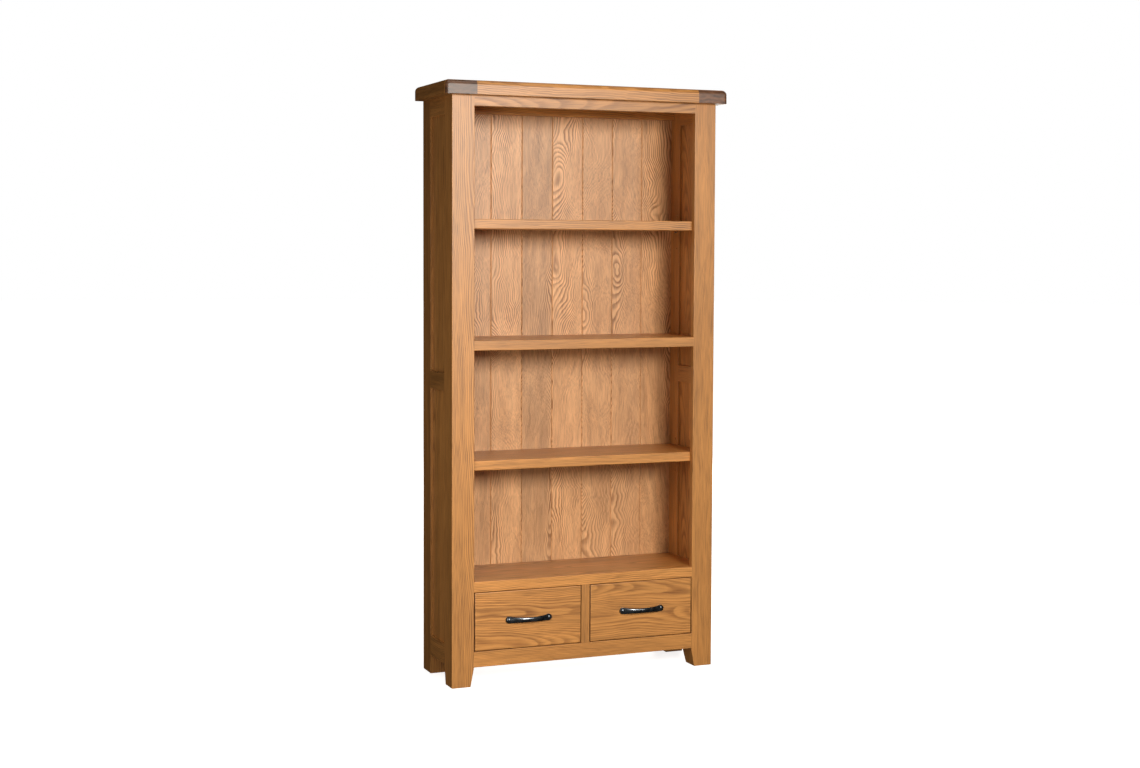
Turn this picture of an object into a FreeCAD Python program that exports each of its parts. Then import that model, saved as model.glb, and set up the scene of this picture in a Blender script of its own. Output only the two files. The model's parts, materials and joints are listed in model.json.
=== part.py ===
"""Oak bookcase with four bays, two loose shelves on pins and two drawers below.

Millimetres, +Z up. The origin is on the floor, under the middle of the top.
The front faces -Y and the left side, seen from the front, is -X.
"""
import FreeCAD, Part
import os
import re

Vector = FreeCAD.Vector
Rotation = FreeCAD.Rotation

# Driving dimensions, one spreadsheet row each.
SIZES = [
    # Overall top
    ("total_height", 1800),
    ("top_width", 918),
    ("top_depth", 306),
    ("top_thickness", 42),
    ("top_round_radius", 15),
    ("top_corner_radius", 12),
    ("side_overhang", 29),
    ("front_overhang", 25),
    ("top_tongue_length", 15),
    ("top_tongue_thickness", 12),
    ("top_tongue_inset", 30),
    # Face frame
    ("stile_width", 70),
    ("frame_thickness", 20),
    ("top_rail_height", 31),
    ("deck_rail_height", 31.5),
    ("drawer_opening_height", 179),
    ("bottom_rail_height", 47),
    ("divider_width", 27),
    ("frame_tenon_length", 20),
    ("frame_tenon_thickness", 8),
    ("frame_tenon_shoulder", 5),
    ("divider_tenon_length", 12),
    # Side frames and panels
    ("side_thickness", 22),
    ("front_side_stile_width", 52),
    ("rear_side_stile_width", 73),
    ("top_side_rail_height", 53),
    ("middle_side_rail_height", 53),
    ("middle_side_rail_drop", 70.75),
    ("bottom_side_rail_height", 61.5),
    ("side_tenon_length", 20),
    ("side_tenon_shoulder", 6),
    ("panel_thickness", 8),
    ("panel_recess", 8),
    ("panel_groove_depth", 8),
    # Feet
    ("foot_height", 58),
    ("foot_taper", 11),
    # Shelves and their pins
    ("shelf_thickness", 29),
    ("shelf_edge_radius", 2),
    ("shelf_clearance", 0.5),
    ("housing_clearance", 1),
    ("pin_radius", 3),
    ("pin_length", 17),
    ("pin_inset", 9),
    ("pin_hole_depth", 10),
    ("pin_hole_spacing", 52),
    ("pin_edge_distance", 18),
    # Back
    ("back_thickness", 10),
    ("back_rebate", 6),
    ("first_back_board_width", 93),
    ("last_back_board_width", 105),
    ("tongue_length", 5),
    ("tongue_thickness", 3.4),
    ("groove_clearance", 0.3),
    ("v_line_width", 4),
    ("back_rail_thickness", 18),
    ("back_top_rail_height", 34),
    ("cleat_height", 23),
    ("cleat_thickness", 18),
    # Drawer runners
    ("runner_thickness", 20),
    ("runner_guide_height", 20),
    ("runner_ledge", 20),
    ("runner_clearance", 0.3),
    ("runner_tenon_length", 5),
    # Drawers
    ("drawer_gap", 2),
    ("drawer_front_chamfer", 1.2),
    ("drawer_side_thickness", 12),
    ("drawer_side_drop", 5),
    ("drawer_back_thickness", 12),
    ("drawer_back_drop", 12),
    ("drawer_back_inset", 10),
    ("drawer_housing_depth", 5),
    ("drawer_bottom_thickness", 6),
    ("drawer_groove_depth", 6),
    ("drawer_groove_level", 10),
    ("drawer_stop_gap", 0.5),
    ("tail_length", 13),
    ("tail_flare", 3),
    # Handles
    ("handle_span", 128),
    ("handle_projection", 24),
    ("boss_radius", 10),
    ("boss_rim", 5),
    ("boss_dome", 5),
    ("strap_thickness", 7),
    ("strap_middle_height", 14.5),
    ("strap_end_height", 20),
    ("handle_hole_depth", 7),
    ("handle_screw_radius", 2),
    ("handle_screw_head_radius", 4.5),
    ("handle_screw_head_height", 2.5),
    # Wood screws
    ("screw_radius", 2),
    ("screw_head_radius", 4),
    ("screw_head_height", 3),
    ("top_screw_grip", 20),
    ("runner_screw_length", 60),
    ("back_screw_radius", 1.5),
    ("back_screw_head_radius", 3),
    ("back_screw_length", 25),
    # Spare length of a cutting tool past the wood
    ("overrun", 10),
]

# Counts and shares
TOP_BOARDS = ("front", "middle", "back")
SHELVES = 3
BACK_BOARDS = 8
TAILS = 4
TAIL_WIDTH_SHARE = 0.62
STRAP_SECTION_SHARES = (-1, -0.68, -0.34, 0, 0.34, 0.68, 1)
TOP_SCREW_SHARES = (-0.75, 0, 0.75)
SIDES = {"left": -1, "right": 1}

# Planes and levels that follow from the driving dimensions.
PLACES = {
    "half_carcass": "top_width / 2 - side_overhang",
    "half_inside": "half_carcass - side_thickness",
    "half_opening": "half_carcass - stile_width",
    "half_divider": "divider_width / 2",
    "front": "-top_depth / 2 + front_overhang",
    "frame_back": "front + frame_thickness",
    "rear": "top_depth / 2",
    "back_face": "rear - back_thickness",
    "back_rail_face": "back_face - back_rail_thickness",
    "front_stile_edge": "frame_back + front_side_stile_width",
    "rear_stile_edge": "rear - rear_side_stile_width",
    "top_under": "total_height - top_thickness",
    "bottom_rail_top": "foot_height + bottom_rail_height",
    "deck_under": "bottom_rail_top + drawer_opening_height",
    "deck_top": "deck_under + deck_rail_height",
    "top_rail_under": "top_under - top_rail_height",
    "bay_height": f"(top_rail_under - deck_top - {SHELVES} * shelf_thickness) / {SHELVES + 1}",
    "lower_shelf_under": "deck_top + bay_height",
    "fixed_shelf_under": "lower_shelf_under + shelf_thickness + bay_height",
    "upper_shelf_under": "fixed_shelf_under + shelf_thickness + bay_height",
    "middle_side_rail_top": "fixed_shelf_under - middle_side_rail_drop",
    "panel_outside": "half_carcass - panel_recess",
    "panel_inside": "panel_outside - panel_thickness",
    "back_board_pitch": "(2 * half_inside - first_back_board_width - last_back_board_width)"
                        f" / {BACK_BOARDS - 2}",
    "runner_top": "bottom_rail_top + drawer_gap - runner_clearance",
    "runner_under": "runner_top - runner_thickness",
    "drawer_under": "bottom_rail_top + drawer_gap",
    "drawer_top": "deck_under - drawer_gap",
    "drawer_side_top": "drawer_top - drawer_side_drop",
    "drawer_rear": "back_face - drawer_stop_gap",
    "drawer_middle": "(drawer_under + drawer_top) / 2",
    "drawer_low": "half_divider + drawer_gap",
    "drawer_high": "half_opening - drawer_gap",
    "drawer_centre": "(half_divider + half_opening) / 2",
}

# A round tool points along +Z until it is turned to its axis.
AXIS_TURNS = {
    "x": Rotation(Vector(0, 1, 0), 90),
    "y": Rotation(Vector(1, 0, 0), -90),
    "z": Rotation(),
}

doc = FreeCAD.newDocument("Bookcase")
nodes = []


def make_sheet():
    """Spreadsheet with one named cell for each driving dimension."""
    sheet = doc.addObject("Spreadsheet::Sheet", "Sizes")
    for row, (name, value) in enumerate(SIZES, start=1):
        sheet.set(f"A{row}", name)
        sheet.set(f"B{row}", str(value))
        sheet.setAlias(f"B{row}", name)
    doc.recompute()
    return sheet


def expand(formula):
    """The formula with places written out and sizes taken from the sheet."""
    def replace(match):
        word = match.group(0)
        if word in PLACES:
            return "(" + expand(PLACES[word]) + ")"
        return "Sizes." + word
    return re.sub(r"[a-z][a-z_]+\b(?!\()", replace, str(formula))


def bind(obj, name, formula):
    obj.setExpression(name, expand(formula))


def place(obj, x, y, z):
    bind(obj, "Placement.Base.x", x)
    bind(obj, "Placement.Base.y", y)
    bind(obj, "Placement.Base.z", z)


def across(side, low, high):
    """A span along X on the given side, from the middle outwards."""
    if side > 0:
        return low, high
    return f"-({high})", f"-({low})"


def box(name, x, y, z):
    """Box between a low and a high place along each axis."""
    obj = doc.addObject("Part::Box", name)
    for extent, (low, high) in (("Length", x), ("Width", y), ("Height", z)):
        bind(obj, extent, f"({high}) - ({low})")
    place(obj, x[0], y[0], z[0])
    return obj


def cylinder(name, axis, start, radius, length):
    """Cylinder from a start point along a positive axis."""
    obj = doc.addObject("Part::Cylinder", name)
    obj.Placement = FreeCAD.Placement(Vector(), AXIS_TURNS[axis])
    bind(obj, "Radius", radius)
    bind(obj, "Height", length)
    place(obj, *start)
    return obj


def cone(name, axis, start, radius_start, radius_end, length):
    """Cone, as a screw's countersunk head, from a start point along a positive axis."""
    obj = doc.addObject("Part::Cone", name)
    obj.Placement = FreeCAD.Placement(Vector(), AXIS_TURNS[axis])
    bind(obj, "Radius1", radius_start)
    bind(obj, "Radius2", radius_end)
    bind(obj, "Height", length)
    place(obj, *start)
    return obj


def fuse(name, pieces):
    if len(pieces) == 1:
        return pieces[0]
    obj = doc.addObject("Part::MultiFuse", name)
    obj.Shapes = pieces
    obj.Refine = True
    return obj


def group(name, pieces):
    obj = doc.addObject("Part::Compound", name)
    obj.Links = pieces
    return obj


def cut(name, base, tools):
    obj = doc.addObject("Part::Cut", name)
    obj.Base = base
    obj.Tool = tools[0] if len(tools) == 1 else group(name + "_tools", tools)
    obj.Refine = True
    return obj


def common(name, base, tool):
    obj = doc.addObject("Part::Common", name)
    obj.Base = base
    obj.Tool = tool
    obj.Refine = True
    return obj


def edges_along(obj, axes, test=lambda middle: True):
    """Numbers of the edges parallel to one of the axes whose middle passes the test."""
    doc.recompute()
    numbers = []
    for number, edge in enumerate(obj.Shape.Edges, start=1):
        along = edge.tangentAt(edge.FirstParameter)
        parallel = any(round(abs(getattr(along, axis))) == 1 for axis in axes)
        if parallel and test(edge.CenterOfMass):
            numbers.append(number)
    return numbers


def node(label, obj):
    """Marks an object as a finished piece, whose label is its file's name."""
    obj.Label = label
    if obj.Label != label:
        raise RuntimeError(f"the label {label} is already in use")
    nodes.append(obj)
    return obj


def size(name):
    return float(sheet.get(name))


# The top: boards side by side between two end boards, glued up and then rounded over together.

def make_top(top_screws):
    blank = box("top_blank", ("-top_width / 2", "top_width / 2"),
                ("-top_depth / 2", "top_depth / 2"), ("top_under", "total_height"))
    half_way_up = size("total_height") - size("top_thickness") / 2
    upright = edges_along(blank, "z")
    rim = edges_along(blank, "xy", lambda middle: middle.z > half_way_up)
    rounded = doc.addObject("Part::Fillet", "top_rounded")
    rounded.Base = blank
    corner = size("top_corner_radius")
    over = size("top_round_radius")
    rounded.Edges = [(number, corner, corner) for number in upright] + \
                    [(number, over, over) for number in rim]
    height = ("top_under", "total_height")
    # The end boards reach in as far as the stiles under them.
    shoulder = "half_opening"
    tongue_end = f"{shoulder} + top_tongue_length"
    tongue_height = ("top_under + (top_thickness - top_tongue_thickness) / 2",
                     "top_under + (top_thickness + top_tongue_thickness) / 2")
    lines = [f"-top_depth / 2 + {index} * top_depth / {len(TOP_BOARDS)}"
             for index in range(len(TOP_BOARDS) + 1)]
    tongue_lines = [f"{lines[0]} + top_tongue_inset", *lines[1:-1], f"{lines[-1]} - top_tongue_inset"]
    drilled = {"front": top_screws["front"], "back": top_screws["rear"]}
    tongues = []
    for index, board_name in enumerate(TOP_BOARDS):
        label = f"top_{board_name}_board"
        span = box(label + "_span", (f"-({shoulder})", shoulder), (lines[index], lines[index + 1]), height)
        tongue = box(label + "_tongues", (f"-({tongue_end})", tongue_end),
                     (tongue_lines[index], tongue_lines[index + 1]), tongue_height)
        tongues.append(tongue)
        piece = fuse(label + "_whole", [common(label + "_moulded", rounded, span), tongue])
        if board_name in drilled:
            piece = cut(label, piece, drilled[board_name])
        node(label, piece)
    for side_name, side in SIDES.items():
        label = f"{side_name}_top_end_board"
        span = box(label + "_span", across(side, shoulder, "top_width / 2"),
                   (lines[0], lines[-1]), height)
        node(label, cut(label, common(label + "_moulded", rounded, span), tongues))


# Feet: the inner faces of each foot slope in towards the floor.

def foot_void(name, side, front):
    """What is cut away around a foot whose outer corner stays upright."""
    wide = "stile_width"
    deep = "frame_thickness + front_side_stile_width" if front else "rear_side_stile_width"
    taper_back = "foot_taper" if front else "0"
    foot = doc.addObject("Part::Wedge", name + "_shape")
    foot.Placement = FreeCAD.Placement(Vector(), Rotation(Vector(1, 0, 0), 90))
    narrow = f"{wide} - foot_taper"
    shallow = f"{deep} - {taper_back}"
    outward = {1: ("-({0})", "0"), -1: ("0", "{0}")}[side]
    backward = ("-({0})", "0") if front else ("0", "{0}")
    for prefix, x_size, y_size in (("", narrow, shallow), ("2", wide, deep)):
        for end, pattern in zip(("min", "max"), outward):
            bind(foot, f"X{prefix}{end}", pattern.format(x_size))
        for end, pattern in zip(("min", "max"), backward):
            bind(foot, f"Z{prefix}{end}", pattern.format(y_size))
    bind(foot, "Ymin", "0")
    bind(foot, "Ymax", "foot_height")
    place(foot, f"{side} * half_carcass", "front" if front else "rear", "0")
    region = box(name + "_region", across(side, "half_opening - overrun", "half_carcass + overrun"),
                 ("front - overrun", "front_stile_edge + overrun") if front
                 else ("rear_stile_edge - overrun", "rear + overrun"),
                 ("-overrun", "foot_height"))
    return cut(name + "_void", region, [foot])


def make_feet(voids, runner_screws):
    """Blocks glued into the corners behind the stiles. The runners rest on them."""
    for side_name, side in SIDES.items():
        x = across(side, "half_opening", "half_inside")
        front_block = box(f"{side_name}_front_foot_blank", x,
                          ("frame_back", "front_stile_edge"), ("0", "runner_under"))
        rear_block = box(f"{side_name}_rear_foot_blank", x,
                         ("rear_stile_edge", "rear"), ("0", "runner_under"))
        back_seat = box(f"{side_name}_rear_foot_back_seat", x,
                        ("back_rail_face", "rear + overrun"), ("foot_height", "runner_under + overrun"))
        screws = runner_screws[side_name]
        label = f"{side_name}_front_foot"
        node(label, cut(label, front_block, [voids[side_name, "front"], screws["front"]]))
        label = f"{side_name}_rear_foot"
        node(label, cut(label, rear_block, [voids[side_name, "rear"], back_seat, screws["rear"]]))


# Side frames: two stiles and three rails around two flat panels.

SIDE_RAILS = {
    "top": ("top_under - top_side_rail_height", "top_under"),
    "middle": ("middle_side_rail_top - middle_side_rail_height", "middle_side_rail_top"),
    "bottom": ("foot_height", "foot_height + bottom_side_rail_height"),
}


def make_side(side_name, side, voids, boards, pin_holes):
    thickness = across(side, "half_inside", "half_carcass")
    core = across(side, "panel_inside", "panel_outside")
    between = ("front_stile_edge", "rear_stile_edge")
    grooved = (f"{between[0]} - panel_groove_depth", f"{between[1]} + panel_groove_depth")
    tenoned = (f"{between[0]} - side_tenon_length", f"{between[1]} + side_tenon_length")
    panels = {}
    for part_name, below, above in (("upper", "middle", "top"), ("lower", "bottom", "middle")):
        label = f"{side_name}_{part_name}_panel"
        low = f"{SIDE_RAILS[below][1]} - panel_groove_depth"
        high = f"{SIDE_RAILS[above][0]} + panel_groove_depth"
        panels[part_name] = node(label, box(label, core, grooved, (low, high)))
    tenons = []
    for rail_name, (low, high) in SIDE_RAILS.items():
        label = f"{side_name}_{rail_name}_side_rail"
        body = box(label + "_body", thickness, between, (low, high))
        tenon = box(label + "_tenons", core, tenoned,
                    (f"{low} + side_tenon_shoulder", f"{high} - side_tenon_shoulder"))
        tenons.append(tenon)
        node(label, cut(label, fuse(label + "_whole", [body, tenon]), list(panels.values())))
    for end, y in (("front", ("frame_back", "front_stile_edge")), ("rear", ("rear_stile_edge", "rear"))):
        label = f"{side_name}_{end}_side_stile"
        blank = box(label + "_blank", thickness, y, ("0", "top_under"))
        tools = [voids[side_name, end], *boards, *panels.values(), *tenons, pin_holes[side_name, end]]
        if end == "rear":
            tools.append(box(label + "_rebate", across(side, "half_inside", "half_inside + back_rebate"),
                             ("back_face", "rear + overrun"), ("foot_height", "top_under")))
        node(label, cut(label, blank, tools))


# Face frame: two stiles, four rails and the piece between the drawers.

FACE_RAILS = {
    "top": ("top_rail_under", "top_under"),
    "middle": ("fixed_shelf_under", "fixed_shelf_under + shelf_thickness"),
    "deck": ("deck_under", "deck_top"),
    "bottom": ("foot_height", "bottom_rail_top"),
}


def make_face_frame(voids, centre_runner_tenon):
    depth = ("front", "frame_back")
    cheek = ("(front + frame_back - frame_tenon_thickness) / 2",
             "(front + frame_back + frame_tenon_thickness) / 2")
    post_x = ("-half_divider", "half_divider")
    post = box("drawer_divider_post", post_x, depth, ("bottom_rail_top", "deck_under"))
    post_tenon = box("drawer_divider_tenon",
                     ("-half_divider + frame_tenon_shoulder", "half_divider - frame_tenon_shoulder"),
                     cheek, ("bottom_rail_top - divider_tenon_length", "deck_under + divider_tenon_length"))
    node("drawer_divider", fuse("drawer_divider", [post, post_tenon]))
    tenons = []
    reach = "half_opening + frame_tenon_length"
    for rail_name, (low, high) in FACE_RAILS.items():
        label = f"{rail_name}_face_rail"
        body = box(label + "_body", ("-half_opening", "half_opening"), depth, (low, high))
        tenon = box(label + "_tenons", (f"-({reach})", reach), cheek,
                    (f"{low} + frame_tenon_shoulder", f"{high} - frame_tenon_shoulder"))
        tenons.append(tenon)
        rail = fuse(label + "_whole", [body, tenon])
        if rail_name in ("deck", "bottom"):
            tools = [post_tenon]
            if rail_name == "bottom":
                tools.append(centre_runner_tenon)
            rail = cut(label, rail, tools)
        node(label, rail)
    for side_name, side in SIDES.items():
        label = f"{side_name}_face_stile"
        blank = box(label + "_blank", across(side, "half_opening", "half_carcass"), depth,
                    ("0", "top_under"))
        node(label, cut(label, blank, [voids[side_name, "front"], *tenons]))


# Shelves: the deck over the drawers and the middle shelf are housed in the sides.

def make_fixed_boards():
    reach = "panel_inside - housing_clearance"
    boards = []
    for label, low, high in (("deck_board", "deck_under", "deck_top"),
                             ("fixed_shelf", "fixed_shelf_under", "fixed_shelf_under + shelf_thickness")):
        board = box(label, (f"-({reach})", reach), ("frame_back", "back_face"), (low, high))
        boards.append(node(label, board))
    return boards


def make_loose_shelves():
    half = "half_inside - shelf_clearance"
    for label, low in (("lower_shelf", "lower_shelf_under"), ("upper_shelf", "upper_shelf_under")):
        blank = box(label + "_blank", (f"-({half})", half),
                    ("frame_back + shelf_clearance", "back_face - shelf_clearance"),
                    (low, f"{low} + shelf_thickness"))
        front_edges = edges_along(blank, "x", lambda middle: middle.y < 0)
        shelf = doc.addObject("Part::Fillet", label)
        shelf.Base = blank
        radius = size("shelf_edge_radius")
        shelf.Edges = [(number, radius, radius) for number in front_edges]
        node(label, shelf)


PIN_PLACES = {
    "front": "front_stile_edge - pin_edge_distance",
    "rear": "rear_stile_edge + pin_edge_distance",
}


def make_pins():
    """Four pins under each loose shelf, and the row of holes that each pin can move to."""
    pins = []
    holes = {}
    for side_name, side in SIDES.items():
        pin_start = across(side, "half_inside + pin_inset - pin_length", "half_inside + pin_inset")[0]
        hole_start = across(side, "half_inside", "half_inside + pin_hole_depth")[0]
        for end, y in PIN_PLACES.items():
            drilled = []
            for shelf_name in ("lower_shelf", "upper_shelf"):
                level = f"{shelf_name}_under - pin_radius"
                name = f"{side_name}_{end}_{shelf_name}"
                pins.append(cylinder(name + "_pin", "x", (pin_start, y, level),
                                     "pin_radius", "pin_length"))
                for step, step_name in ((-1, "low"), (0, "middle"), (1, "high")):
                    drilled.append(cylinder(f"{name}_{step_name}_hole", "x",
                                            (hole_start, y, f"{level} + {step} * pin_hole_spacing"),
                                            "pin_radius", "pin_hole_depth"))
            holes[side_name, end] = group(f"{side_name}_{end}_pin_holes", drilled)
    node("shelf_pins", group("shelf_pins", pins))
    return holes


# Back: upright tongue-and-groove boards with V lines, on a rail at the top and bottom.

def back_line(index):
    """Place along X of the left edge of a back board."""
    if index == 0:
        return "-half_inside - back_rebate"
    if index == BACK_BOARDS:
        return "half_inside + back_rebate"
    return f"-half_inside + first_back_board_width + {index - 1} * back_board_pitch"


def make_back():
    height = ("foot_height", "top_under")
    middle = "(back_face + rear) / 2"
    joints = {}
    for index in range(1, BACK_BOARDS):
        line = back_line(index)
        name = f"back_joint_{index}"
        tongue = box(name + "_tongue", (line, f"{line} + tongue_length"),
                     (f"{middle} - tongue_thickness / 2", f"{middle} + tongue_thickness / 2"), height)
        slot = box(name + "_slot", (line, f"{line} + tongue_length + groove_clearance"),
                   (f"{middle} - tongue_thickness / 2 - groove_clearance",
                    f"{middle} + tongue_thickness / 2 + groove_clearance"), height)
        lines = []
        for face_name, face in (("front", "back_face"), ("rear", "rear")):
            cutter = doc.addObject("Part::Box", f"{name}_{face_name}_line")
            cutter.Placement = FreeCAD.Placement(Vector(), Rotation(Vector(0, 0, 1), 45))
            bind(cutter, "Length", "v_line_width / sqrt(2)")
            bind(cutter, "Width", "v_line_width / sqrt(2)")
            bind(cutter, "Height", f"({height[1]}) - ({height[0]})")
            place(cutter, line, f"{face} - v_line_width / 2", height[0])
            lines.append(cutter)
        joints[index] = (tongue, slot, lines)
    screws, screw_holes = make_back_screws()
    boards = []
    for index in range(BACK_BOARDS):
        name = f"back_board_{index + 1}"
        pieces = [box(name + "_blank", (back_line(index), back_line(index + 1)),
                      ("back_face", "rear"), height)]
        tools = list(screw_holes[index])
        if index > 0:
            tools += [joints[index][1], *joints[index][2]]
        if index + 1 < BACK_BOARDS:
            pieces.append(joints[index + 1][0])
            tools += joints[index + 1][2]
        boards.append(cut(name, fuse(name + "_whole", pieces), tools))
    node("back_boards", group("back_boards", boards))
    return screws


def make_back_screws():
    """One screw through the top and the bottom of each board into the rail behind its front."""
    levels = ("top_under - back_top_rail_height / 2", "(foot_height + bottom_rail_top) / 2")
    screws = []
    by_board = {}
    for index in range(BACK_BOARDS):
        x = f"({back_line(index)} + {back_line(index + 1)}) / 2"
        by_board[index] = []
        for level_name, level in zip(("top", "bottom"), levels):
            name = f"back_screw_{index + 1}_{level_name}"
            shank = cylinder(name + "_shank", "y", (x, "rear - back_screw_length", level),
                             "back_screw_radius", "back_screw_length")
            head = cone(name + "_head", "y", (x, "rear - back_screw_head_radius", level),
                        "back_screw_radius", "back_screw_head_radius", "back_screw_head_radius")
            by_board[index].append(fuse(name, [shank, head]))
        screws += by_board[index]
    node("back_screws", group("back_screws", screws))
    return screws, by_board


def make_back_rails(back_screws, top_screws, centre_runner_tenon):
    x = ("-half_inside", "half_inside")
    y = ("back_rail_face", "back_face")
    top = box("back_top_rail_blank", x, y, ("top_under - back_top_rail_height", "top_under"))
    node("back_top_rail", cut("back_top_rail", top, [group("back_top_rail_screws",
                                                           back_screws[0::2] + top_screws["rear"])]))
    bottom = box("back_bottom_rail_blank", x, y, ("foot_height", "bottom_rail_top"))
    node("back_bottom_rail", cut("back_bottom_rail", bottom, [group("back_bottom_rail_screws",
                                                                    back_screws[1::2]),
                                                              centre_runner_tenon]))


# Fixings of the top: a cleat behind the face frame and screws up from below.

def make_top_fixings():
    cleat_rear = "frame_back + cleat_thickness"
    starts = {
        "front": (f"(frame_back + {cleat_rear}) / 2", "top_under - cleat_height", "cleat_height"),
        "rear": ("(back_rail_face + back_face) / 2", "top_under - back_top_rail_height",
                 "back_top_rail_height"),
    }
    screws = {}
    for end, (y, low, grip) in starts.items():
        screws[end] = []
        for index, share in enumerate(TOP_SCREW_SHARES, start=1):
            name = f"top_screw_{end}_{index}"
            x = f"{share} * half_inside"
            shank = cylinder(name + "_shank", "z", (x, y, low), "screw_radius", f"{grip} + top_screw_grip")
            head = cone(name + "_head", "z", (x, y, low), "screw_head_radius", "screw_radius",
                        "screw_head_height")
            screws[end].append(fuse(name, [shank, head]))
    node("top_screws", group("top_screws", screws["front"] + screws["rear"]))
    cleat = box("top_cleat_blank", ("-half_inside", "half_inside"), ("frame_back", cleat_rear),
                ("top_under - cleat_height", "top_under"))
    node("top_cleat", cut("top_cleat", cleat, screws["front"]))
    return screws


# Drawer runners: a ledge under each drawer side and a guide beside it.

def make_runner_screws():
    """Screws down through the side runners into the foot blocks."""
    screws = {}
    top = "runner_top + runner_guide_height"
    for side_name, side in SIDES.items():
        x = f"{side} * (half_opening + half_inside) / 2"
        screws[side_name] = {}
        for end, y in (("front", "(frame_back + front_stile_edge) / 2"),
                       ("rear", "(rear_stile_edge + back_rail_face) / 2")):
            name = f"runner_screw_{side_name}_{end}"
            shank = cylinder(name + "_shank", "z", (x, y, f"{top} - runner_screw_length"),
                             "screw_radius", "runner_screw_length")
            head = cone(name + "_head", "z", (x, y, f"{top} - screw_head_height"),
                        "screw_radius", "screw_head_radius", "screw_head_height")
            screws[side_name][end] = fuse(name, [shank, head])
    every = [screw for ends in screws.values() for screw in ends.values()]
    node("runner_screws", group("runner_screws", every))
    return screws


def make_runners(runner_screws):
    y = ("frame_back", "back_rail_face")
    ledge = ("runner_under", "runner_top")
    guide = ("runner_top", "runner_top + runner_guide_height")
    for side_name, side in SIDES.items():
        label = f"{side_name}_drawer_runner"
        base = box(label + "_ledge", across(side, "half_opening - runner_ledge", "half_inside"), y, ledge)
        fence = box(label + "_guide", across(side, "half_opening", "half_inside"), y, guide)
        node(label, cut(label, fuse(label + "_whole", [base, fence]),
                        list(runner_screws[side_name].values())))
    label = "centre_drawer_runner"
    base = box(label + "_ledge", ("-half_divider - runner_ledge", "half_divider + runner_ledge"), y, ledge)
    fence = box(label + "_guide", ("-half_divider", "half_divider"), y, guide)
    tenon = box(label + "_tenon", ("-half_divider", "half_divider"),
                (f"{y[0]} - runner_tenon_length", f"{y[1]} + runner_tenon_length"),
                ("runner_under", "bottom_rail_top - frame_tenon_shoulder"))
    node(label, fuse(label, [base, fence, tenon]))
    return tenon


# Drawers: a front with lapped dovetails, two sides, a back and a bottom in grooves.

def make_tails(name, x):
    """Dovetails on the front end of a drawer side, wider at their far end."""
    pitch = f"(drawer_side_top - drawer_under) / {TAILS}"
    width = f"{TAIL_WIDTH_SHARE} * {pitch}"
    tails = []
    for index in range(TAILS):
        tail = doc.addObject("Part::Wedge", f"{name}_tail_{index + 1}")
        bind(tail, "Xmin", "0")
        bind(tail, "X2min", "0")
        bind(tail, "Xmax", "drawer_side_thickness")
        bind(tail, "X2max", "drawer_side_thickness")
        bind(tail, "Ymin", "0")
        bind(tail, "Ymax", "tail_length")
        bind(tail, "Zmin", "0")
        bind(tail, "Zmax", width)
        bind(tail, "Z2min", "tail_flare")
        bind(tail, "Z2max", f"{width} - tail_flare")
        place(tail, x[0], "frame_back - tail_length",
              f"drawer_under + ({index} + (1 - {TAIL_WIDTH_SHARE}) / 2) * {pitch}")
        tails.append(tail)
    return tails


def make_drawer(side_name, side):
    name = f"{side_name}_drawer"
    x = across(side, "drawer_low", "drawer_high")
    side_spans = {
        "left": (x[0], f"{x[0]} + drawer_side_thickness"),
        "right": (f"{x[1]} - drawer_side_thickness", x[1]),
    }
    inside = (side_spans["left"][1], side_spans["right"][0])
    floor = "drawer_under + drawer_groove_level"
    panel_top = f"{floor} + drawer_bottom_thickness"
    bottom = node(f"{name}_bottom", box(f"{name}_bottom",
                                        (f"{inside[0]} - drawer_groove_depth",
                                         f"{inside[1]} + drawer_groove_depth"),
                                        ("frame_back - drawer_groove_depth", "drawer_rear"),
                                        (floor, panel_top)))
    back_y = ("drawer_rear - drawer_back_inset - drawer_back_thickness", "drawer_rear - drawer_back_inset")
    back = node(f"{name}_back", box(f"{name}_back",
                                    (f"{inside[0]} - drawer_housing_depth",
                                     f"{inside[1]} + drawer_housing_depth"),
                                    back_y, (panel_top, "drawer_side_top - drawer_back_drop")))
    tails = []
    for end, span in side_spans.items():
        label = f"{name}_{end}_side"
        plank = box(label + "_plank", span, ("frame_back", "drawer_rear"),
                    ("drawer_under", "drawer_side_top"))
        own_tails = make_tails(label, span)
        tails += own_tails
        node(label, cut(label, fuse(label + "_whole", [plank, *own_tails]), [bottom, back]))
    screws = make_handle(name, side)
    blank = box(f"{name}_front_blank", x, ("front", "frame_back"), ("drawer_under", "drawer_top"))
    half_way_in = size("front_overhang") + size("frame_thickness") / 2 - size("top_depth") / 2
    face_edges = edges_along(blank, "xz", lambda middle: middle.y < half_way_in)
    eased = doc.addObject("Part::Chamfer", f"{name}_front_eased")
    eased.Base = blank
    chamfer = size("drawer_front_chamfer")
    eased.Edges = [(number, chamfer, chamfer) for number in face_edges]
    node(f"{name}_front", cut(f"{name}_front", eased, [bottom, *tails, *screws]))


# Handles: cast bow handles with a domed boss at each end.

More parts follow.
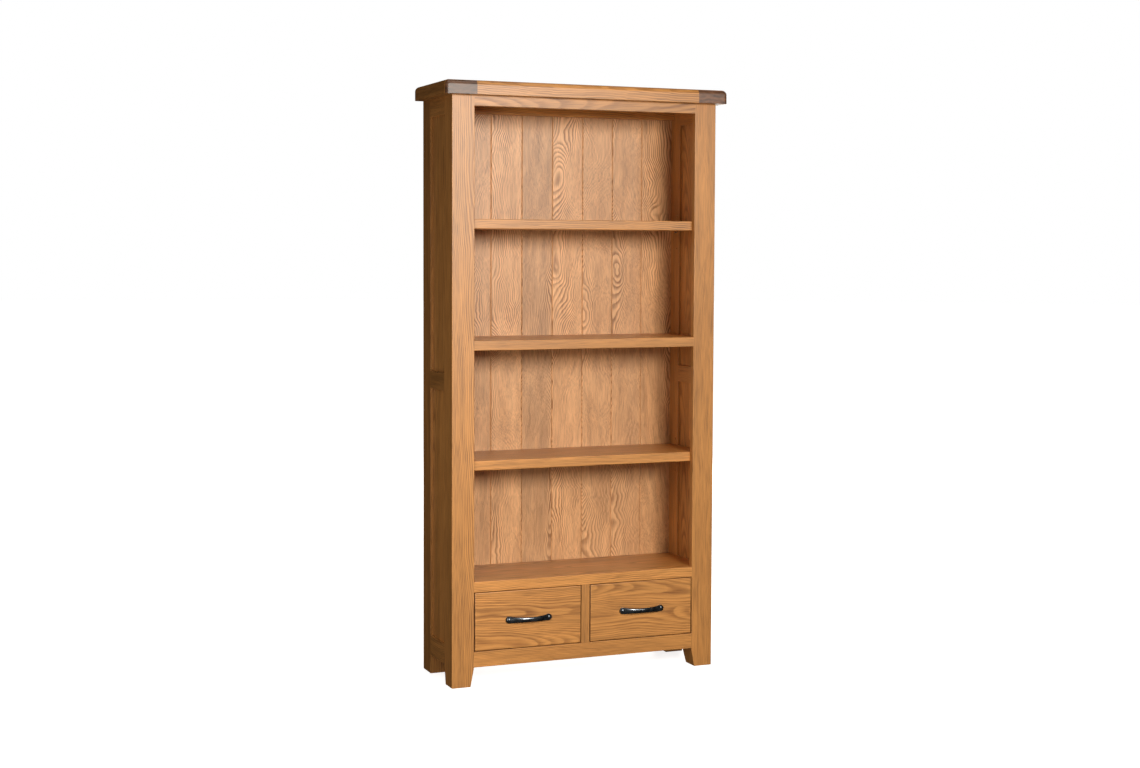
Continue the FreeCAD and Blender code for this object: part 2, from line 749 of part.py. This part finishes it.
def make_handle(name, side):
    centre = f"{side} * drawer_centre"
    half_span = "handle_span / 2"
    far = "front - handle_projection + strap_thickness / 2"
    near = "front - boss_rim"
    sections = []
    for index, share in enumerate(STRAP_SECTION_SHARES, start=1):
        section = doc.addObject("Part::Ellipse", f"{name}_strap_{index}")
        section.Placement = FreeCAD.Placement(Vector(), Rotation(Vector(0, 1, 0), -90))
        bend = share * share
        bind(section, "MajorRadius",
             f"(strap_middle_height + (strap_end_height - strap_middle_height) * {bend}) / 2")
        bind(section, "MinorRadius", "strap_thickness / 2")
        place(section, f"{centre} + {share} * {half_span}",
              f"{far} + ({near} - ({far})) * {bend}", "drawer_middle")
        sections.append(section)
    strap = doc.addObject("Part::Loft", f"{name}_strap")
    strap.Sections = sections
    strap.Solid = True
    strap.Ruled = False
    bosses = []
    screws = []
    holes = []
    for end_name, end in SIDES.items():
        part_name = f"{name}_{end_name}"
        x = f"{centre} + {end} * {half_span}"
        tip = "front - boss_rim - boss_dome"
        disc = cylinder(part_name + "_disc", "y", (x, tip, "drawer_middle"), "boss_radius",
                        "boss_rim + boss_dome")
        dome = doc.addObject("Part::Sphere", part_name + "_dome")
        dome.Placement = FreeCAD.Placement(Vector(), AXIS_TURNS["y"])
        radius = "(boss_radius ^ 2 + boss_dome ^ 2) / (2 * boss_dome)"
        bind(dome, "Radius", radius)
        place(dome, x, f"{tip} + {radius}", "drawer_middle")
        bosses.append(common(part_name + "_boss", disc, dome))
        shank = cylinder(part_name + "_shank", "y", (x, "front - handle_hole_depth", "drawer_middle"),
                         "handle_screw_radius", "handle_hole_depth + frame_thickness")
        head = cylinder(part_name + "_head", "y", (x, "frame_back", "drawer_middle"),
                        "handle_screw_head_radius", "handle_screw_head_height")
        screws.append(fuse(part_name + "_screw", [shank, head]))
        holes.append(shank)
    node(f"{name}_handle", cut(f"{name}_handle", fuse(f"{name}_handle_whole", [strap, *bosses]), holes))
    node(f"{name}_handle_screws", group(f"{name}_handle_screws", screws))
    return holes


def check_and_write():
    """Stops on any failed object, then writes one file for each finished piece."""
    doc.recompute()
    for obj in doc.Objects:
        if "Invalid" in obj.State or "Error" in obj.State:
            raise RuntimeError(f"{obj.Name} failed: {obj.State}")
    for obj in nodes:
        if obj.Shape.isNull() or not obj.Shape.isValid():
            raise RuntimeError(f"{obj.Label} has no valid shape")
    os.makedirs("parts", exist_ok=True)
    for obj in nodes:
        obj.Shape.exportStep(os.path.join("parts", obj.Label + ".step"))
        print(obj.Label, len(obj.Shape.Solids), round(obj.Shape.Volume))
    print(len(nodes), "pieces")


sheet = make_sheet()
runner_screws = make_runner_screws()
top_screws = make_top_fixings()
make_top(top_screws)
voids = {(side_name, end): foot_void(f"{side_name}_{end}", side, end == "front")
         for side_name, side in SIDES.items() for end in ("front", "rear")}
make_feet(voids, runner_screws)
boards = make_fixed_boards()
make_loose_shelves()
pin_holes = make_pins()
for side_name, side in SIDES.items():
    make_side(side_name, side, voids, boards, pin_holes)
runner_tenon = make_runners(runner_screws)
make_face_frame(voids, runner_tenon)
back_screws = make_back()
make_back_rails(back_screws, top_screws, runner_tenon)
for side_name, side in SIDES.items():
    make_drawer(side_name, side)
check_and_write()
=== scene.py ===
"""Looks of a solid oak bookcase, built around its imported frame.

Metres, +Z up, in the frame of the CAD part. The front faces -Y, and the left side,
seen from the front, is -X.
"""

import json
import math
import random

import bmesh
import bpy
from mathutils import Matrix, Vector
from mathutils.bvhtree import BVHTree


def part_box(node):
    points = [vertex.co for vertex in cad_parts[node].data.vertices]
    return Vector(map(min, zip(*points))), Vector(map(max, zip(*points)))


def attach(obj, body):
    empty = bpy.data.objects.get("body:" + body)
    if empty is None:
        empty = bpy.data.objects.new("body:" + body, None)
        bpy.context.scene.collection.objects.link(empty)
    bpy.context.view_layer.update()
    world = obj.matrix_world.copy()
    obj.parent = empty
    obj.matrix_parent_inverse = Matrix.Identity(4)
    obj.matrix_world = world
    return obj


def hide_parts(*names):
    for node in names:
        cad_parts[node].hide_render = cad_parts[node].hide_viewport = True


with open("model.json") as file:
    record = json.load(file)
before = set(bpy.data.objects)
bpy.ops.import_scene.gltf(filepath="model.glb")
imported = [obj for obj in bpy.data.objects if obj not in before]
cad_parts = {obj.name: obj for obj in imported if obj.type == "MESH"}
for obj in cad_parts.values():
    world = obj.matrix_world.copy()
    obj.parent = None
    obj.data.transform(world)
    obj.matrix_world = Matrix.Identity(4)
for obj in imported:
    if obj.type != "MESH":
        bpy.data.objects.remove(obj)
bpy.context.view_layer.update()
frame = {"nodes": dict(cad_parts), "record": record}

MM = 0.001
AXES = (Vector((1, 0, 0)), Vector((0, 1, 0)), Vector((0, 0, 1)))

# Camera of the photograph, fitted to the edges of the bookcase in it. The photograph's size,
# its focal length and the row of its optical axis are in pixels, the sensor is in mm, and the
# camera sees SIGHT metres far.
PHOTO_WIDTH = 1140
PHOTO_HEIGHT = 768
PHOTO_FOCAL = 1765.6
PHOTO_AXIS_ROW = 350
CAMERA_PLACE = (-2065.7 * MM, -5061.7 * MM, 1304.9 * MM)
CAMERA_YAW = math.radians(-22.173)
CAMERA_PITCH = math.radians(-3.239)
CAMERA_ROLL = math.radians(0.23)
SENSOR_WIDTH = 36.0
SIGHT = 200

# Shapes of the boards. Corners nearer than WELD are one corner, and faces that turn less than
# FLAT_TURN are one face. Edges that turn more than CORNER_TURN are sharp. Boards nearer than
# TOUCH touch, and corners shorter than SHORTEST_ARRIS aren't eased.
WELD = 0.002 * MM
FLAT_TURN = math.radians(0.5)
CORNER_TURN = math.radians(35)
TOUCH = 0.15 * MM
SHORTEST_ARRIS = 8 * MM
EASING = 1.2 * MM
FINE_EASING = 0.5 * MM
EASING_FACETS = 3

# A board wider than WIDEST_STAVE is glued up from staves of about USUAL_STAVE.
WIDEST_STAVE = 120 * MM
USUAL_STAVE = 90 * MM

# Growth of the oaks. RING is a year's growth. The heart of a stave's tree lay beside and behind
# the stave, by so many mm, and the stave leans out of the trunk's line by at most LEAN. Each
# stave was cut somewhere along TRUNK_LENGTH metres.
RING = 3.2 * MM
HEART_BESIDE = (50, 100)
HEART_BEHIND = (45, 90)
FLAT_HEART_BEHIND = (60, 110)
LEAN = 0.03
FLAT_LEAN = 0.1
TRUNK_LENGTH = 9

# How far beside the middle of each flat-sawn stave the heart lay, at least and at most, as
# shares of the stave's width. The back boards show half arches, and the others whole ones.
FLAT_SAWN = {"back_boards": (0.6, 1.0)}
for node in ("left_drawer_front", "right_drawer_front", "left_upper_panel", "left_lower_panel",
             "right_upper_panel", "right_lower_panel", "deck_board", "top_face_rail"):
    FLAT_SAWN[node] = (0, 0.6)

# Boards whose tone the photograph shows, from 0 for dark to 1 for light, or beyond. The tones of all
# others are random. The low tones of the left side's rear stile, rear foot and middle rail, and of
# the top's left end board, are painted shade for the dimmer light on the left of the bookcase and
# towards its back, not darker wood.
TONES_AND_PAINTED_SHADE = {"left_middle_side_rail": -0.4, "right_middle_side_rail": -0.1,
         "left_rear_side_stile": -0.4, "left_rear_foot": -0.4, "left_top_end_board": -0.5,
         "top_front_board": 0.0, "top_face_rail": 0.0, "deck_face_rail": 1.0,
         "left_face_stile": 0.1, "right_face_stile": 0.3,
         "left_drawer_front": 0.5, "right_drawer_front": 0.4}

# Studio. FILL is the strength of the backdrop's own light on the bookcase.
FLOOR_RADIUS = 40.0
FLOOR_SIDES = 96
FILL = 0.2

body_of = {node: body for body, nodes in frame["record"]["behaviour"]["bodies"].items()
           for node in nodes}
slot_of = {part["node"]: part["material_slot"] for part in frame["record"]["subparts"]}
wooden = [node for node in slot_of if "oak" in slot_of[node]]


# Shader nodes

def linear(code):
    """An sRGB hex colour as linear red, green, blue and alpha."""
    shares = [int(code[place:place + 2], 16) / 255 for place in (1, 3, 5)]
    return [share / 12.92 if share <= 0.04045 else ((share + 0.055) / 1.055) ** 2.4
            for share in shares] + [1.0]


def add(tree, kind, inputs=None, output=0, **settings):
    """Adds a shader node, sets it, and gives its inputs values or links. Returns one output."""
    node = tree.nodes.new("ShaderNode" + kind)
    for name, value in settings.items():
        setattr(node, name, value)
    for name, value in (inputs or {}).items():
        if isinstance(value, bpy.types.NodeSocket):
            tree.links.new(value, node.inputs[name])
        else:
            node.inputs[name].default_value = value
    return node.outputs[output] if node.outputs else None


def calc(tree, operation, *values):
    """Arithmetic on up to three values."""
    return add(tree, "Math", dict(enumerate(values)), operation=operation)


def vector(tree, operation, *values, output=0):
    """Arithmetic on up to three vectors."""
    return add(tree, "VectorMath", dict(enumerate(values)), output, operation=operation)


def remap(tree, value, before=(0, 1), after=(0, 1), **settings):
    """A value moved from one range into another."""
    return add(tree, "MapRange", {"Value": value, "From Min": before[0], "From Max": before[1],
                                  "To Min": after[0], "To Max": after[1]}, **settings)


def noise(tree, place, fineness, detail=3.0, output=0):
    """Noise with so many lumps to the metre along each axis."""
    place = vector(tree, "MULTIPLY", place, fineness)
    return add(tree, "TexNoise", {"Vector": place, "Scale": 1.0, "Detail": detail}, output)


def even_noise(tree, place, fineness):
    """Noise with equally many lumps to the metre along all axes."""
    return add(tree, "TexNoise", {"Vector": place, "Scale": fineness, "Detail": 2.0})


def mix(tree, share, first, second):
    """The first colour, turned towards the second by a share."""
    return add(tree, "Mix", {0: share, 6: first, 7: second}, 2, data_type="RGBA")


def new_tree(name):
    """A new material with an empty tree."""
    material = bpy.data.materials.new(name)
    material.use_nodes = True
    material.node_tree.nodes.clear()
    return material, material.node_tree


def surfaced(material, inputs):
    """The material, with these inputs given to its surface."""
    shader = add(material.node_tree, "BsdfPrincipled", inputs)
    add(material.node_tree, "OutputMaterial", {"Surface": shader})
    return material


# Materials

def bent_trunk(tree, place, swell, ripple):
    """Places in the tree, pushed to where they would lie in a straight and even trunk."""
    # Along a board the trunk swells over about 330 mm and ripples over about 40 mm, and across
    # it is rough over 6 mm. The ripple pushes a whole board's rings sideways together, so they
    # zigzag.
    bent = place
    for across, lengthwise, sideways, inwards in ((5, 3, 30 * MM, swell),
                                                  (9, 24, ripple, ripple / 8),
                                                  (170, 22, 1.2 * MM, 0.4 * MM)):
        wave = noise(tree, place, (across, across, lengthwise), 1.5, "Color")
        wave = vector(tree, "SUBTRACT", wave, (0.5, 0.5, 0.5))
        bent = vector(tree, "MULTIPLY_ADD", wave, (sideways, inwards, 0), bent)
    return bent


def growth_rings(tree, place, bent):
    """How open the wood is: 1 at the start of a year's early wood, and 0 in late wood."""
    flat = vector(tree, "MULTIPLY", bent, (1, 1, 0))
    years = add(tree, "VectorMath", {0: flat, "Scale": 1 / RING}, operation="SCALE")
    years = vector(tree, "LENGTH", years, output="Value")
    season = calc(tree, "FRACT", years)
    early = remap(tree, season, (0.05, 0.65), (1, 0), interpolation_type="SMOOTHSTEP")
    late = remap(tree, season, (0.88, 1.0))
    depth = calc(tree, "MAXIMUM", early, late)
    # In patches the rings show less.
    patch = remap(tree, noise(tree, place, (30, 30, 7)), (0.34, 0.62), (0.45, 1))
    return calc(tree, "MULTIPLY", depth, patch)


def oak(name, pale, deep, pore, ends, figure, swell, ripple, roughness, coat):
    """European oak, whose figure is cut from growth rings about a pith, so faces and ends agree.

    pale and deep are the colours of dense and of open wood, and ends are those of end grain.
    figure is how dark the early wood shows. swell is how far the trunk grows thicker and
    thinner along a board, which draws arches on its face, and ripple is how far the wavy trunk
    pushes the rings sideways.
    """
    material, tree = new_tree(name)
    place = add(tree, "Attribute", output="Vector", attribute_name="grain")
    along = add(tree, "Attribute", output="Vector", attribute_name="along")
    tone = add(tree, "Attribute", output="Fac", attribute_name="tone")
    bent = bent_trunk(tree, place, swell, ripple)
    depth = growth_rings(tree, place, bent)

    # Pores are drawn 2.5 mm apart, coarser than the real 0.3 mm, so that they show.
    pores = remap(tree, noise(tree, bent, (400, 400, 12)), (0.44, 0.68))
    near = calc(tree, "MULTIPLY_ADD", depth, 0.5, 0.5)
    pores = calc(tree, "MULTIPLY", pores, near)
    colour = mix(tree, calc(tree, "MULTIPLY", depth, figure), linear(pale), linear(deep))
    colour = mix(tree, calc(tree, "MULTIPLY", pores, 0.6), colour, linear(pore))

    # End grain soaks up the lacquer and turns dark, and streaks of it drink more.
    normal = add(tree, "NewGeometry", output="Normal")
    facing = vector(tree, "DOT_PRODUCT", normal, along, output="Value")
    facing = calc(tree, "ABSOLUTE", facing)
    facing = remap(tree, facing, (0.2, 0.6), interpolation_type="SMOOTHSTEP")
    thirst = remap(tree, noise(tree, place, (40, 160, 8)), (0.3, 0.7))
    end = mix(tree, thirst, linear(ends[0]), linear(ends[1]))
    colour = mix(tree, facing, colour, end)

    # Every stave has its own tone, which drifts along its length in streaks.
    drift = remap(tree, noise(tree, bent, (60, 60, 2.5)), (0.3, 0.7), (-0.13, 0.13))
    level = remap(tree, tone, after=(0.86, 1.12), clamp=False)
    level = calc(tree, "ADD", level, drift)
    colour = add(tree, "HueSaturation", {"Value": level, "Color": colour})

    # Lacquer fills the wood's surface, so most of the gloss comes from the lacquer itself.
    hollow = calc(tree, "MULTIPLY_ADD", depth, 0.2, pores)
    bump = add(tree, "Bump", {"Strength": 0.3, "Distance": 0.15 * MM, "Height": hollow}, invert=True)
    rough = remap(tree, depth, after=roughness)
    return surfaced(material, {"Base Color": colour, "Roughness": rough, "Normal": bump,
                               "IOR": 1.5, "Specular IOR Level": 0.5 - 0.4 * coat,
                               "Coat Weight": coat, "Coat Roughness": 0.42, "Coat IOR": 1.45})


def iron():
    """Cast iron, blacked and waxed: dark, with a soft gloss, and burnished where hands rub it."""
    material, tree = new_tree("Blacked_cast_iron")
    place = add(tree, "TexCoord", output="Object")
    sand = even_noise(tree, place, 500)
    patch = remap(tree, even_noise(tree, place, 70), (0.35, 0.65))
    colour = mix(tree, patch, linear("#2E3237"), linear("#646A71"))
    rough = remap(tree, patch, after=(0.3, 0.2))
    bump = add(tree, "Bump", {"Strength": 0.2, "Distance": 0.1 * MM, "Height": sand})
    return surfaced(material, {"Base Color": colour, "Roughness": rough, "Normal": bump,
                               "Metallic": 0.85})


def steel(name, dark, light, roughness):
    """Plated steel, rolled and drawn: a mottled metal sheen."""
    material, tree = new_tree(name)
    mottle = even_noise(tree, add(tree, "TexCoord", output="Object"), 700)
    colour = mix(tree, mottle, linear(dark), linear(light))
    rough = remap(tree, mottle, after=(roughness - 0.08, roughness + 0.08))
    bump = add(tree, "Bump", {"Strength": 0.15, "Distance": 0.05 * MM, "Height": mottle})
    return surfaced(material, {"Base Color": colour, "Roughness": rough, "Normal": bump,
                               "Metallic": 1.0})


def light_table():
    """Opal acrylic lit from below, as under goods in a studio: white, with only faint shadows."""
    material, tree = new_tree("Backlit_opal_acrylic")
    place = add(tree, "TexCoord", output="Object")
    colour = mix(tree, even_noise(tree, place, 3), linear("#ECECEC"), linear("#F4F4F4"))
    away = vector(tree, "LENGTH", place, output="Value")
    # The floor's glow is painted light. It rises from 0.82 beside the bookcase to full white 5 m
    # away, so the floor fades into the white backdrop.
    glow = remap(tree, away, (0.8, 5.0), (0.82, 1.0))
    return surfaced(material, {"Base Color": colour, "Roughness": 0.7, "Emission Strength": glow,
                               "Emission Color": linear("#FFFFFF")})


# Lacquered oak is honey brown with a satin gloss. The back boards are a paler, strongly
# figured oak, and the drawer boxes are planed and left bare.
LACQUERED_ENDS = ("#795035", "#43291A")
BARE_ENDS = ("#A07A52", "#77552F")
FINISHES = {
    "oak": oak("Lacquered_oak", "#D2924C", "#9C6229", "#5E3815", LACQUERED_ENDS, figure=0.8,
               swell=22 * MM, ripple=4 * MM, roughness=(0.44, 0.58), coat=1.0),
    "oak_back": oak("Figured_oak", "#E2AE7A", "#946030", "#67401C", LACQUERED_ENDS, figure=0.95,
                    swell=150 * MM, ripple=14 * MM, roughness=(0.48, 0.62), coat=0.9),
    "drawer_box_oak": oak("Planed_oak", "#CFA778", "#A87A49", "#7D5830", BARE_ENDS, figure=0.7,
                          swell=22 * MM, ripple=4 * MM, roughness=(0.6, 0.7), coat=0.0),
    "cast_handle": iron(),
    "steel_pin": steel("Nickel_plated_steel", "#A9A49A", "#CBC6BC", 0.46),
    "steel_screw": steel("Zinc_plated_steel", "#A9A79C", "#C9C7BD", 0.32),
}


# Boards

def merged(node):
    """A CAD node as a bmesh, with its triangles joined and its flat faces whole."""
    shape = bmesh.new()
    shape.from_mesh(frame["nodes"][node].data)
    bmesh.ops.remove_doubles(shape, verts=shape.verts, dist=WELD)
    # Boards that touch are parted again.
    for faces in solids(shape)[1:]:
        bmesh.ops.split(shape, geom=faces)
    bmesh.ops.dissolve_limit(shape, angle_limit=FLAT_TURN, verts=shape.verts, edges=shape.edges)
    return shape


def cut_at(shape, axis, level):
    """Draws a line round the shape where a plane square to the axis meets it."""
    everything = list(shape.verts) + list(shape.edges) + list(shape.faces)
    bmesh.ops.bisect_plane(shape, geom=everything, dist=WELD, plane_co=AXES[axis] * level,
                           plane_no=AXES[axis])


def solids(shape):
    """The separate solids of a shape, as lists of faces."""
    shape.faces.index_update()
    waiting = set(shape.faces)
    found = []
    for first in list(shape.faces):
        if first not in waiting:
            continue
        waiting.discard(first)
        group = [first]
        for face in group:
            joined = [edge for edge in face.edges if len(edge.link_faces) == 2]
            near = {other for edge in joined for other in edge.link_faces} & waiting
            waiting -= near
            group += sorted(near, key=lambda other: other.index)
        found.append(group)
    return found


def extent(faces):
    """The lowest and highest corners of faces."""
    places = [vert.co for face in faces for vert in face.verts]
    return [Vector([pick(place[axis] for place in places) for axis in range(3)])
            for pick in (min, max)]


def is_arris(edge):
    """True for a long outer corner between two flat faces."""
    return (len(edge.link_faces) == 2 and edge.is_convex and edge.calc_length() > SHORTEST_ARRIS
            and edge.calc_face_angle() > CORNER_TURN)


def is_bare(node, point):
    """True where no other board meets the point."""
    for other, (low, high, surface) in surfaces.items():
        inside = all(low[axis] - TOUCH <= point[axis] <= high[axis] + TOUCH for axis in range(3))
        if other != node and inside and surface.find_nearest(point, TOUCH)[0] is not None:
            return False
    return True


def neighbour_levels(shape, node):
    """The places along each arris where another board beside it starts or ends."""
    levels = set()
    for edge in filter(is_arris, shape.edges):
        start, stop = (vert.co for vert in edge.verts)
        axis = max(range(3), key=lambda index: abs(stop[index] - start[index]))
        if abs(stop[axis] - start[axis]) < (stop - start).length * math.cos(FLAT_TURN):
            continue
        near, far = sorted((start[axis], stop[axis]))
        for other, (low, high, _) in surfaces.items():
            beside = all(low[side] - TOUCH <= start[side] <= high[side] + TOUCH
                         for side in range(3) if side != axis)
            if other != node and beside:
                levels |= {(axis, round(end[axis], 6)) for end in (low, high)
                           if near + SHORTEST_ARRIS < end[axis] < far - SHORTEST_ARRIS}
    return sorted(levels)


def longest_sides(size):
    """The axes of a board's length, width and thickness."""
    return sorted(range(3), key=lambda axis: -size[axis])


def stave_count(size):
    """How many staves a board of this size is glued up from."""
    width = sorted(size)[1]
    return 1 if width < WIDEST_STAVE else round(width / USUAL_STAVE)


def saw(luck, node, width, count):
    """How far beside and behind a stave its tree's heart lay, and how far the stave leans."""
    side = luck.choice((-1, 1))
    if node in FLAT_SAWN:
        least, most = FLAT_SAWN[node]
        share = luck.uniform(-1, 1)
        beside = math.copysign(least + (most - least) * abs(share), share) * width / count
        behind = side * luck.uniform(*FLAT_HEART_BEHIND) * MM
        lean = luck.uniform(-FLAT_LEAN, FLAT_LEAN)
    else:
        beside = side * luck.uniform(*HEART_BESIDE) * MM
        behind = luck.choice((-1, 1)) * luck.uniform(*HEART_BEHIND) * MM
        lean = luck.uniform(-LEAN, LEAN)
    return beside, behind, lean


def lay_grain(shape, node):
    """Gives each corner of each face its place in the tree that its stave was sawn from."""
    luck = random.Random(node)
    place_layer = shape.loops.layers.float_vector.new("grain")
    along_layer = shape.loops.layers.float_vector.new("along")
    tone_layer = shape.loops.layers.float.new("tone")
    for faces in solids(shape):
        low, high = extent(faces)
        size = high - low
        length, width, thickness = longest_sides(size)
        count = stave_count(size)
        staves = []
        for index in range(count):
            middle = (low + high) / 2
            middle[width] = low[width] + size[width] * (index + 0.5) / count
            beside, behind, lean = saw(luck, node, size[width], count)
            start = luck.uniform(0, TRUNK_LENGTH)
            tone = luck.uniform(0, 1)
            staves.append((middle, beside, behind, lean, start, tone))
        for face in faces:
            reach = (face.calc_center_median()[width] - low[width]) / size[width]
            stave = min(max(int(reach * count), 0), count - 1)
            middle, beside, behind, lean, start, tone = staves[stave]
            for loop in face.loops:
                offset = loop.vert.co - middle
                loop[place_layer] = (offset[width] + beside + lean * offset[length],
                                     offset[thickness] + behind + lean * offset[length] / 2,
                                     offset[length] + start)
                loop[along_layer] = AXES[length]
                # A listed tone replaces the stave's own, and for a few boards it is painted shade.
                loop[tone_layer] = TONES_AND_PAINTED_SHADE.get(node, tone)


def make_piece(name, shape, node):
    """A finished mesh that stands for a CAD node and rides with its body."""
    for face in shape.faces:
        face.smooth = True
    for edge in shape.edges:
        edge.smooth = len(edge.link_faces) == 2 and edge.calc_face_angle() < CORNER_TURN
    # Where an eased arris ends against another board, its last facets are kept flat, or they
    # would bend the shading of both faces beside it.
    ends = [vert for vert in shape.verts
            if [edge.smooth for edge in vert.link_edges].count(False) == 1]
    for edge in {edge for vert in ends for edge in vert.link_edges}:
        if edge.calc_length() < 2 * EASING:
            edge.smooth = False
    mesh = bpy.data.meshes.new(name)
    shape.to_mesh(mesh)
    shape.free()
    mesh.materials.append(FINISHES[slot_of[node]])
    piece = bpy.data.objects.new(name, mesh)
    bpy.context.scene.collection.objects.link(piece)
    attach(piece, body_of[node])
    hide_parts(node)
    return piece


def dress_board(node):
    """An eased copy of a wooden node, with the grain of its staves."""
    shape = merged(node)
    arris = shape.edges.layers.int.new("arris")
    for edge in shape.edges:
        edge[arris] = is_arris(edge)
    for axis, level in neighbour_levels(shape, node):
        cut_at(shape, axis, level)
    eased = [edge for edge in shape.edges
             if edge[arris] and is_bare(node, (edge.verts[0].co + edge.verts[1].co) / 2)]
    if eased:
        easing = FINE_EASING if node == "back_boards" else EASING
        bmesh.ops.bevel(shape, geom=eased, offset=easing, offset_type="OFFSET", affect="EDGES",
                        segments=EASING_FACETS, profile=0.5, material=-1, clamp_overlap=False)
    bmesh.ops.dissolve_limit(shape, angle_limit=FLAT_TURN, verts=shape.verts, edges=shape.edges)
    for faces in solids(shape):
        low, high = extent(faces)
        width = longest_sides(high - low)[1]
        count = stave_count(high - low)
        for index in range(1, count):
            cut_at(shape, width, low[width] + (high[width] - low[width]) * index / count)
    lay_grain(shape, node)
    piece = make_piece(node + "_oak", shape, node)
    even = piece.modifiers.new("Even_shading", "WEIGHTED_NORMAL")
    even.keep_sharp = True


surfaces = {}
for node in wooden:
    shape = merged(node)
    surfaces[node] = (*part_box(node), BVHTree.FromBMesh(shape))
    shape.free()

for node in wooden:
    dress_board(node)

for node in slot_of:
    if node not in wooden:
        slots = frame["nodes"][node].data.materials
        slots.clear()
        slots.append(FINISHES[slot_of[node]])


# Studio

def make_floor():
    """A wide light table under the bookcase."""
    shape = bmesh.new()
    bmesh.ops.create_circle(shape, cap_ends=True, segments=FLOOR_SIDES, radius=FLOOR_RADIUS)
    mesh = bpy.data.meshes.new("Floor")
    shape.to_mesh(mesh)
    shape.free()
    mesh.materials.append(light_table())
    floor = bpy.data.objects.new("Floor", mesh)
    bpy.context.scene.collection.objects.link(floor)
    floor.visible_diffuse = False
    floor.visible_glossy = False


def make_light(name, place, target, size, power, only_gloss=False):
    """An unseen softbox that faces its target."""
    data = bpy.data.lights.new(name, "AREA")
    data.shape = "RECTANGLE"
    data.size, data.size_y = size
    data.energy = power
    data.color = linear("#FFF9F0")[:3]
    light = bpy.data.objects.new(name, data)
    light.location = place
    light.rotation_euler = (Vector(target) - Vector(place)).to_track_quat("-Z", "Y").to_euler()
    light.visible_camera = False
    light.visible_diffuse = not only_gloss
    bpy.context.scene.collection.objects.link(light)


def make_world():
    """A white backdrop, which lights the bookcase only dimly, with no reflection."""
    world = bpy.data.worlds.new("White_studio")
    bpy.context.scene.world = world
    world.use_nodes = True
    tree = world.node_tree
    tree.nodes.clear()
    share = calc(tree, "MULTIPLY", add(tree, "LightPath", output="Is Diffuse Ray"), FILL)
    fill = add(tree, "Background", {"Color": linear("#FFF4E4"), "Strength": share})
    seen = add(tree, "Background", {"Color": linear("#FFFFFF"), "Strength": 1.0})
    ray = add(tree, "LightPath", output="Is Camera Ray")
    both = add(tree, "MixShader", {0: ray, 1: fill, 2: seen})
    add(tree, "OutputWorld", {"Surface": both})


def make_camera():
    """The camera of the photograph."""
    data = bpy.data.cameras.new("Photo_camera")
    data.sensor_width = SENSOR_WIDTH
    data.lens = data.sensor_width * PHOTO_FOCAL / PHOTO_WIDTH
    data.shift_y = (PHOTO_AXIS_ROW - PHOTO_HEIGHT / 2) / PHOTO_WIDTH
    data.clip_end = SIGHT
    camera = bpy.data.objects.new("Photo_camera", data)
    camera.matrix_world = (Matrix.Translation(CAMERA_PLACE)
                           @ Matrix.Rotation(CAMERA_YAW, 4, "Z")
                           @ Matrix.Rotation(math.pi / 2 + CAMERA_PITCH, 4, "X")
                           @ Matrix.Rotation(CAMERA_ROLL, 4, "Z"))
    bpy.context.scene.collection.objects.link(camera)
    bpy.context.scene.camera = camera


make_floor()
make_world()
make_light("Key_softbox", (0.15, -5.0, 2.1), (0, 0, 0.9), (1.1, 1.1), 190)
make_light("Sheen_softbox", (1.2, -5.0, 2.4), (0, 0, 1.2), (1.2, 1.2), 130, only_gloss=True)
make_light("Top_softbox", (0, -0.6, 3.4), (0, -0.15, 1.8), (1.4, 0.5), 10)
make_light("Side_strip", (-0.9, -1.0, 0.8), (-0.43, 0, 0.8), (0.3, 1.7), 6)
make_light("Back_softbox", (3.0, 4.5, 2.0), (0, 0, 0.9), (2.0, 2.0), 120)
make_camera()
bpy.context.scene.view_settings.view_transform = "Standard"
